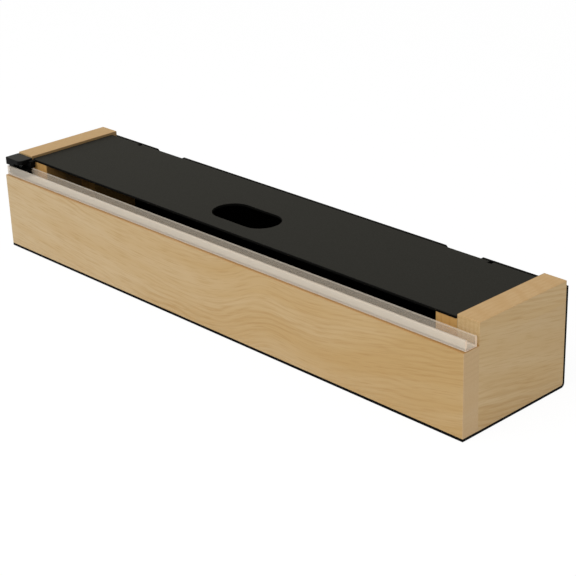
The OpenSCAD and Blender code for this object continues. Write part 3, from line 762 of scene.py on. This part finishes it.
class ORGANIZER_OT_hinges(bpy.types.Operator):
    """Adds the two hinges: a back leaf, a lid leaf and a pin each, and the rivets of the back leaves."""

    bl_idname = "organizer.hinges"
    bl_label = "Hinges"

    def execute(self, context):
        sizes, colours = chosen(context)
        for side in SIDES:
            low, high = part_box(side + "_hinge_pin")
            axis = (low + high) / 2
            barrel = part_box(side + "_hinge_back_leaf")[1].z - axis.z
            self.add_back_leaf(sizes, colours, side + "_hinge_back_leaf", low, high, barrel)
            self.add_lid_leaf(sizes, colours, side + "_hinge_lid_leaf", low, high, barrel)
            self.add_pin(colours, side + "_hinge_pin", low, high)
        self.add_rivets(sizes, colours)
        return {"FINISHED"}

    def add_back_leaf(self, sizes, colours, node, low, high, barrel):
        """The leaf on the back, with an arm forward to each of its knuckles, the outer ones among them."""
        axis = (low + high) / 2
        leaf_low, leaf_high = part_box(node)
        arm_base = axis.z - barrel
        arm_top = arm_base + sizes.leaf
        face = leaf_high.y - sizes.leaf
        leaf = block(node + "_finished", (low.x, face, leaf_low.z), (high.x, leaf_high.y, arm_top))
        self.add_barrels(sizes, leaf, low, high, barrel,
                         (axis.y, arm_base), (face + sizes.knuckle_gap, arm_top), first=0)
        hand_over(leaf, node, blackened_steel(colours))

    def add_lid_leaf(self, sizes, colours, node, low, high, barrel):
        """The leaf under the lid, with the knuckles between those of the back leaf."""
        axis = (low + high) / 2
        leaf_low, leaf_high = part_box(node)
        under = leaf_high.z - sizes.leaf
        edge = axis.y - barrel - sizes.leaf_clearance
        leaf = block(node + "_finished", (low.x, leaf_low.y, under), (high.x, edge, leaf_high.z))
        self.add_barrels(sizes, leaf, low, high, barrel,
                         (edge - sizes.knuckle_gap, under), (axis.y, leaf_high.z), first=1)
        hand_over(leaf, node, blackened_steel(colours))

    def add_pin(self, colours, node, low, high):
        """The pin, with round ends."""
        thick = high.z - low.z
        pin = rod(node + "_finished", (low + high) / 2, "X", high.x - low.x, thick / 2, sides=32)
        ease(pin, thick / 8, segments=3)
        hand_over(pin, node, bright_steel(colours))

    def add_barrels(self, sizes, leaf, low, high, barrel, strip_low, strip_high, first):
        """Joins every second knuckle, and the strip that rolls into it, to a leaf and bores them."""
        pitch = (high.x - low.x) / sizes.knuckles
        axis = (low + high) / 2
        for i in range(first, sizes.knuckles, 2):
            start = low.x + i * pitch + (sizes.knuckle_gap / 2 if i else 0)
            end = low.x + (i + 1) * pitch - (sizes.knuckle_gap / 2 if i < sizes.knuckles - 1 else 0)
            carve(leaf, block("strip", (start, *strip_low), (end, *strip_high)), "UNION")
            middle = ((start + end) / 2, axis.y, axis.z)
            carve(leaf, rod("knuckle", middle, "X", end - start, barrel), "UNION")
        pin_radius = (high.z - low.z) / 2
        carve(leaf, rod("bore", axis, "X", 2 * (high.x - low.x), pin_radius + sizes.bore_gap))
        ease(leaf, sizes.hinge_edge, segments=2, degrees=50)

    def add_rivets(self, sizes, colours):
        """One rivet with a domed head, copied to each place."""
        solids = solids_of("hinge_rivets")
        low, high = solids[0]
        radius = (high.z - low.z) / 2
        dome = sizes.rivet_head * 0.7
        head_middle = (0, low.y + sizes.rivet_head / 2, 0)
        rivet = rod("rivet", head_middle, "Y", sizes.rivet_head, radius)
        round_edges(rivet, dome, lambda a, b: near(a.y, low.y) and near(b.y, low.y), segments=5)
        shank_start = low.y + sizes.rivet_head / 2
        shank_middle = (0, (shank_start + high.y) / 2, 0)
        carve(rivet, rod("shank", shank_middle, "Y", high.y - shank_start, sizes.rivet_shank / 2), "UNION")
        places = [((a.x + b.x) / 2, 0, (a.z + b.z) / 2) for a, b in solids]
        rivets = copies(rivet, places, "hinge_rivets_finished")
        hand_over(rivets, "hinge_rivets", blackened_steel(colours))


class ORGANIZER_OT_cutter_track(bpy.types.Operator):
    """Adds the frosted U track, with a guide groove in each wall, and finishes the tape under it."""

    bl_idname = "organizer.cutter_track"
    bl_label = "Cutter Track"

    def execute(self, context):
        sizes, colours = chosen(context)
        low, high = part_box("cutter_track")
        past = Vector((MM, 0, 0))
        wall = Vector((0, sizes.track_wall, 0))
        groove = Vector((0, sizes.groove_depth, 0))
        floor = low.z + sizes.track_floor
        groove_z = floor + sizes.groove_rise
        track = block("cutter_track_finished", low, high)
        channel_low, channel_high = low - past + wall, high + past - wall
        channel_low.z, channel_high.z = floor, high.z + MM
        carve(track, block("channel", channel_low, channel_high))
        groove_low, groove_high = channel_low - groove, channel_high + groove
        groove_low.z, groove_high.z = groove_z, groove_z + sizes.groove_height
        carve(track, block("groove", groove_low, groove_high))
        ease(track, sizes.track_edge, segments=2, degrees=60)
        plastic = shared(frosted_acrylic, "frosted_acrylic", colours.frosted, colours.track_cut,
                         low, high, floor)
        hand_over(track, "cutter_track", plastic)
        dress("track_tape", shared(adhesive_tape, "pale_transfer_tape", colours.adhesive))
        return {"FINISHED"}


class ORGANIZER_OT_slide_cutter(bpy.types.Operator):
    """Adds the slide cutter's cap with its film mouth and skirt, and finishes shoe, blade and screw."""

    bl_idname = "organizer.slide_cutter"
    bl_label = "Slide Cutter"

    def execute(self, context):
        sizes, colours = chosen(context)
        low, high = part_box("cutter_cap")
        track_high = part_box("cutter_track")[1]
        end = high.x - sizes.nose_reach
        base = track_high.z + sizes.film_gap
        cap = block("cutter_cap_finished", (low.x, low.y, base), (end, high.y, high.z))
        round_edges(cap, sizes.cap_corner,
                    lambda a, b: all(near(p.x, end) and near(p.y, low.y) for p in (a, b)), segments=10)
        round_edges(cap, sizes.cap_edge,
                    lambda a, b: near(a.z, high.z) and near(b.z, high.z)
                    or not near(a.z, b.z) and (near(a.x, low.x) or near(a.y, high.y)), segments=4)
        mouth_start = end - sizes.mouth_length
        carve(cap, block("mouth", (mouth_start, low.y - MM, low.z),
                         (end + MM, high.y + MM, base + sizes.mouth_depth)))
        skirt_front = track_high.y - sizes.track_wall - sizes.skirt_overlap
        skirt = block("skirt", (mouth_start, skirt_front, low.z), (high.x, high.y, high.z - sizes.nose_drop))
        round_edges(skirt, sizes.cap_edge, lambda a, b: near(a.x, high.x) and near(b.x, high.x))
        carve(cap, skirt, "UNION")
        plastic = shared(moulded_abs, "black_moulded_abs", colours.cutter_black, colours.cutter_sheen, high.z)
        hand_over(cap, "cutter_cap", plastic)
        dress("cutter_shoe", plastic)
        dress("cutter_blade", bright_steel(colours))
        dress("cutter_screw", bright_steel(colours))
        return {"FINISHED"}


class ORGANIZER_OT_fasteners(bpy.types.Operator):
    """Adds the countersunk screws of base and back, and finishes the dowels."""

    bl_idname = "organizer.fasteners"
    bl_label = "Fasteners"

    def execute(self, context):
        sizes, colours = chosen(context)
        steel = blackened_steel(colours)
        base_places = [((a.x + b.x) / 2, (a.y + b.y) / 2, a.z) for a, b in solids_of("base_screws")]
        base = copies(self.screw(sizes), base_places, "base_screws_finished")
        hand_over(base, "base_screws", steel)
        back_places = [((a.x + b.x) / 2, b.y, (a.z + b.z) / 2) for a, b in solids_of("back_screws")]
        back_screw = self.screw(sizes)
        back_screw.rotation_euler = (math.pi / 2, 0, 0)
        bpy.ops.object.transform_apply()
        back = copies(back_screw, back_places, "back_screws_finished")
        hand_over(back, "back_screws", steel)
        dress("front_dowels", block_wood(colours))
        return {"FINISHED"}

    def screw(self, sizes):
        """A screw that points up, with the flat of its head at the origin and a cross recess in it."""
        rim, cone, tip = 0.25 * MM, 1.45 * MM, 2 * MM
        tip_share = 0.27
        head, shank = sizes.screw_head / 2, sizes.screw_shank / 2
        screw = rod("screw", (0, 0, rim / 2), "Z", rim, head)
        steps = [(cone, shank / head), (sizes.screw_length - rim - cone - tip, 1), (tip, tip_share)]
        with editing(screw) as shape:
            bpy.ops.mesh.select_mode(type="FACE")
            for face in shape.faces:
                face.select_set(face.normal.z > 0.9)
            bmesh.update_edit_mesh(screw.data)
            top = rim
            for rise, share in steps:
                top += rise
                bpy.ops.mesh.extrude_region_move(TRANSFORM_OT_translate={"value": (0, 0, rise)})
                bpy.ops.transform.resize(value=(share, share, 1), center_override=(0, 0, top))
        recess_arm, recess_half, recess_depth = head * 0.55, 0.4 * MM, MM
        for wide, deep in ((recess_arm, recess_half), (recess_half, recess_arm)):
            carve(screw, block("recess", (-wide, -deep, -MM), (wide, deep, recess_depth)))
        ease(screw, 0.1 * MM, segments=2, degrees=50)
        only(screw)
        return screw


# Stage, with places and sizes in metres

FLOOR_SIZE = 12
FLOOR_DROP = 0.2 * MM
FLOOR_GLOW = 1.04
GLOW_SHARE = 0.9
WHITE = linear("#ffffff")
ROOM_TONE = linear("#fffbeb")
ROOM_LIGHT = 0.8
KEY_PLACE = (-0.2, -1.25, 1.5)
KEY_SIZE = 1.4
FILL_PLACE = (1.35, -0.9, 0.74)
FILL_SIZE = 0.5
SENSOR_MM = 36
CLIP_NEAR, CLIP_FAR = 0.01, 50


class ORGANIZER_OT_stage(bpy.types.Operator):
    """Adds the floor, the light and the camera."""

    bl_idname = "organizer.stage"
    bl_label = "Stage"

    def execute(self, context):
        stage = context.scene.organizer_stage
        self.add_floor(chosen(context)[1].floor)
        self.add_sky(context.scene, stage.sky_light)
        self.add_lamp("key_lamp", stage.key_light, KEY_PLACE, KEY_SIZE)
        self.add_lamp("fill_lamp", stage.fill_light, FILL_PLACE, FILL_SIZE)
        self.add_camera(context.scene, stage)
        context.scene.view_settings.view_transform = "Standard"
        return {"FINISHED"}

    def background_share(self, tree):
        """1 for the rays that show the background itself: seen straight, in a gloss or through the track."""
        path = add_node(tree, "LightPath").outputs
        straight, glossy = path["Is Camera Ray"], path["Is Glossy Ray"]
        seen = add_node(tree, "Math", {0: straight, 1: glossy}, operation="MAXIMUM")
        return add_node(tree, "Math", {0: seen, 1: path["Is Transmission Ray"]}, operation="MAXIMUM")

    def add_floor(self, pale):
        """A wide floor that takes the object's shadow, and glows white towards the background."""
        bpy.ops.object.select_all(action="DESELECT")
        bpy.ops.mesh.primitive_plane_add(size=FLOOR_SIZE, location=(0, 0, -FLOOR_DROP))
        floor = settle("floor")
        material, tree, _ = new_material("white_floor")
        paint = add_node(tree, "BsdfDiffuse", {"Color": pale})
        glow = add_node(tree, "Emission", {"Strength": FLOOR_GLOW})
        share = add_node(tree, "Math", {0: self.background_share(tree), 1: GLOW_SHARE}, operation="MULTIPLY")
        mixed = add_node(tree, "MixShader", {0: share, 1: paint, 2: glow})
        add_node(tree, "OutputMaterial", {"Surface": mixed})
        floor.data.materials.append(material)

    def add_sky(self, scene, strength):
        """An even light that looks white. Coats and plastic mirror a room that is warmer and darker."""
        scene.world = bpy.data.worlds.new("even_sky")
        scene.world.use_nodes = True
        tree = scene.world.node_tree
        tree.nodes.clear()
        light = add_node(tree, "Background", {"Color": WHITE, "Strength": strength})
        white = add_node(tree, "Background", {"Color": WHITE, "Strength": 1.0})
        room = add_node(tree, "Background", {"Color": ROOM_TONE, "Strength": ROOM_LIGHT})
        seen = add_node(tree, "MixShader", {0: self.background_share(tree), 1: light, 2: white})
        glossy = add_node(tree, "LightPath").outputs["Is Glossy Ray"]
        mixed = add_node(tree, "MixShader", {0: glossy, 1: seen, 2: room})
        add_node(tree, "OutputWorld", {"Surface": mixed})

    def add_lamp(self, name, power, place, size):
        """A square lamp that faces the middle of the stage."""
        bpy.ops.object.light_add(type="AREA", location=place)
        lamp = bpy.context.object
        lamp.name = lamp.data.name = name
        lamp.data.energy = power
        lamp.data.size = size
        lamp.rotation_mode = "QUATERNION"
        lamp.rotation_quaternion = (-Vector(place)).to_track_quat("-Z", "Y")

    def add_camera(self, scene, stage):
        """The camera, which looks along its azimuth and elevation and leans by its roll."""
        bpy.ops.object.camera_add(location=tuple(stage.camera_place))
        camera = bpy.context.object
        camera.data.sensor_width = SENSOR_MM
        camera.data.lens = stage.lens
        camera.data.clip_start = CLIP_NEAR
        camera.data.clip_end = CLIP_FAR
        level = math.cos(stage.elevation)
        back = Vector((math.sin(stage.azimuth) * level, -math.cos(stage.azimuth) * level,
                       math.sin(stage.elevation)))
        camera.rotation_mode = "QUATERNION"
        camera.rotation_quaternion = (-back).to_track_quat("-Z", "Y") @ Quaternion((0, 0, 1), stage.roll)
        scene.camera = camera


GROUPS = {"organizer_sizes": OrganizerSizes, "organizer_colours": OrganizerColours,
          "organizer_stage": OrganizerStage}
OPERATORS = (ORGANIZER_OT_front_panel, ORGANIZER_OT_end_panels, ORGANIZER_OT_corner_blocks,
             ORGANIZER_OT_folded_sheet, ORGANIZER_OT_lid, ORGANIZER_OT_hinges, ORGANIZER_OT_cutter_track,
             ORGANIZER_OT_slide_cutter, ORGANIZER_OT_fasteners, ORGANIZER_OT_stage)


class ORGANIZER_PT_panel(bpy.types.Panel):
    """Lists the pieces of the organizer, and its sizes, colours and stage."""

    bl_idname = "ORGANIZER_PT_panel"
    bl_label = "Wrap Organizer"
    bl_space_type = "VIEW_3D"
    bl_region_type = "UI"
    bl_category = "Organizer"

    def draw(self, context):
        for operator in OPERATORS:
            self.layout.operator(operator.bl_idname)
        for group, kind in GROUPS.items():
            for name in kind.__annotations__:
                self.layout.prop(getattr(context.scene, group), name)


CLASSES = (*GROUPS.values(), *OPERATORS, ORGANIZER_PT_panel)


def register():
    for cls in CLASSES:
        bpy.utils.register_class(cls)
    for group, kind in GROUPS.items():
        setattr(bpy.types.Scene, group, bpy.props.PointerProperty(type=kind))


def unregister():
    for group in GROUPS:
        delattr(bpy.types.Scene, group)
    for cls in reversed(CLASSES):
        bpy.utils.unregister_class(cls)


def main():
    register()
    bpy.ops.organizer.front_panel()
    bpy.ops.organizer.end_panels()
    bpy.ops.organizer.corner_blocks()
    bpy.ops.organizer.folded_sheet()
    bpy.ops.organizer.lid()
    bpy.ops.organizer.hinges()
    bpy.ops.organizer.cutter_track()
    bpy.ops.organizer.slide_cutter()
    bpy.ops.organizer.fasteners()
    bpy.ops.organizer.stage()


if __name__ == "__main__":
    main()
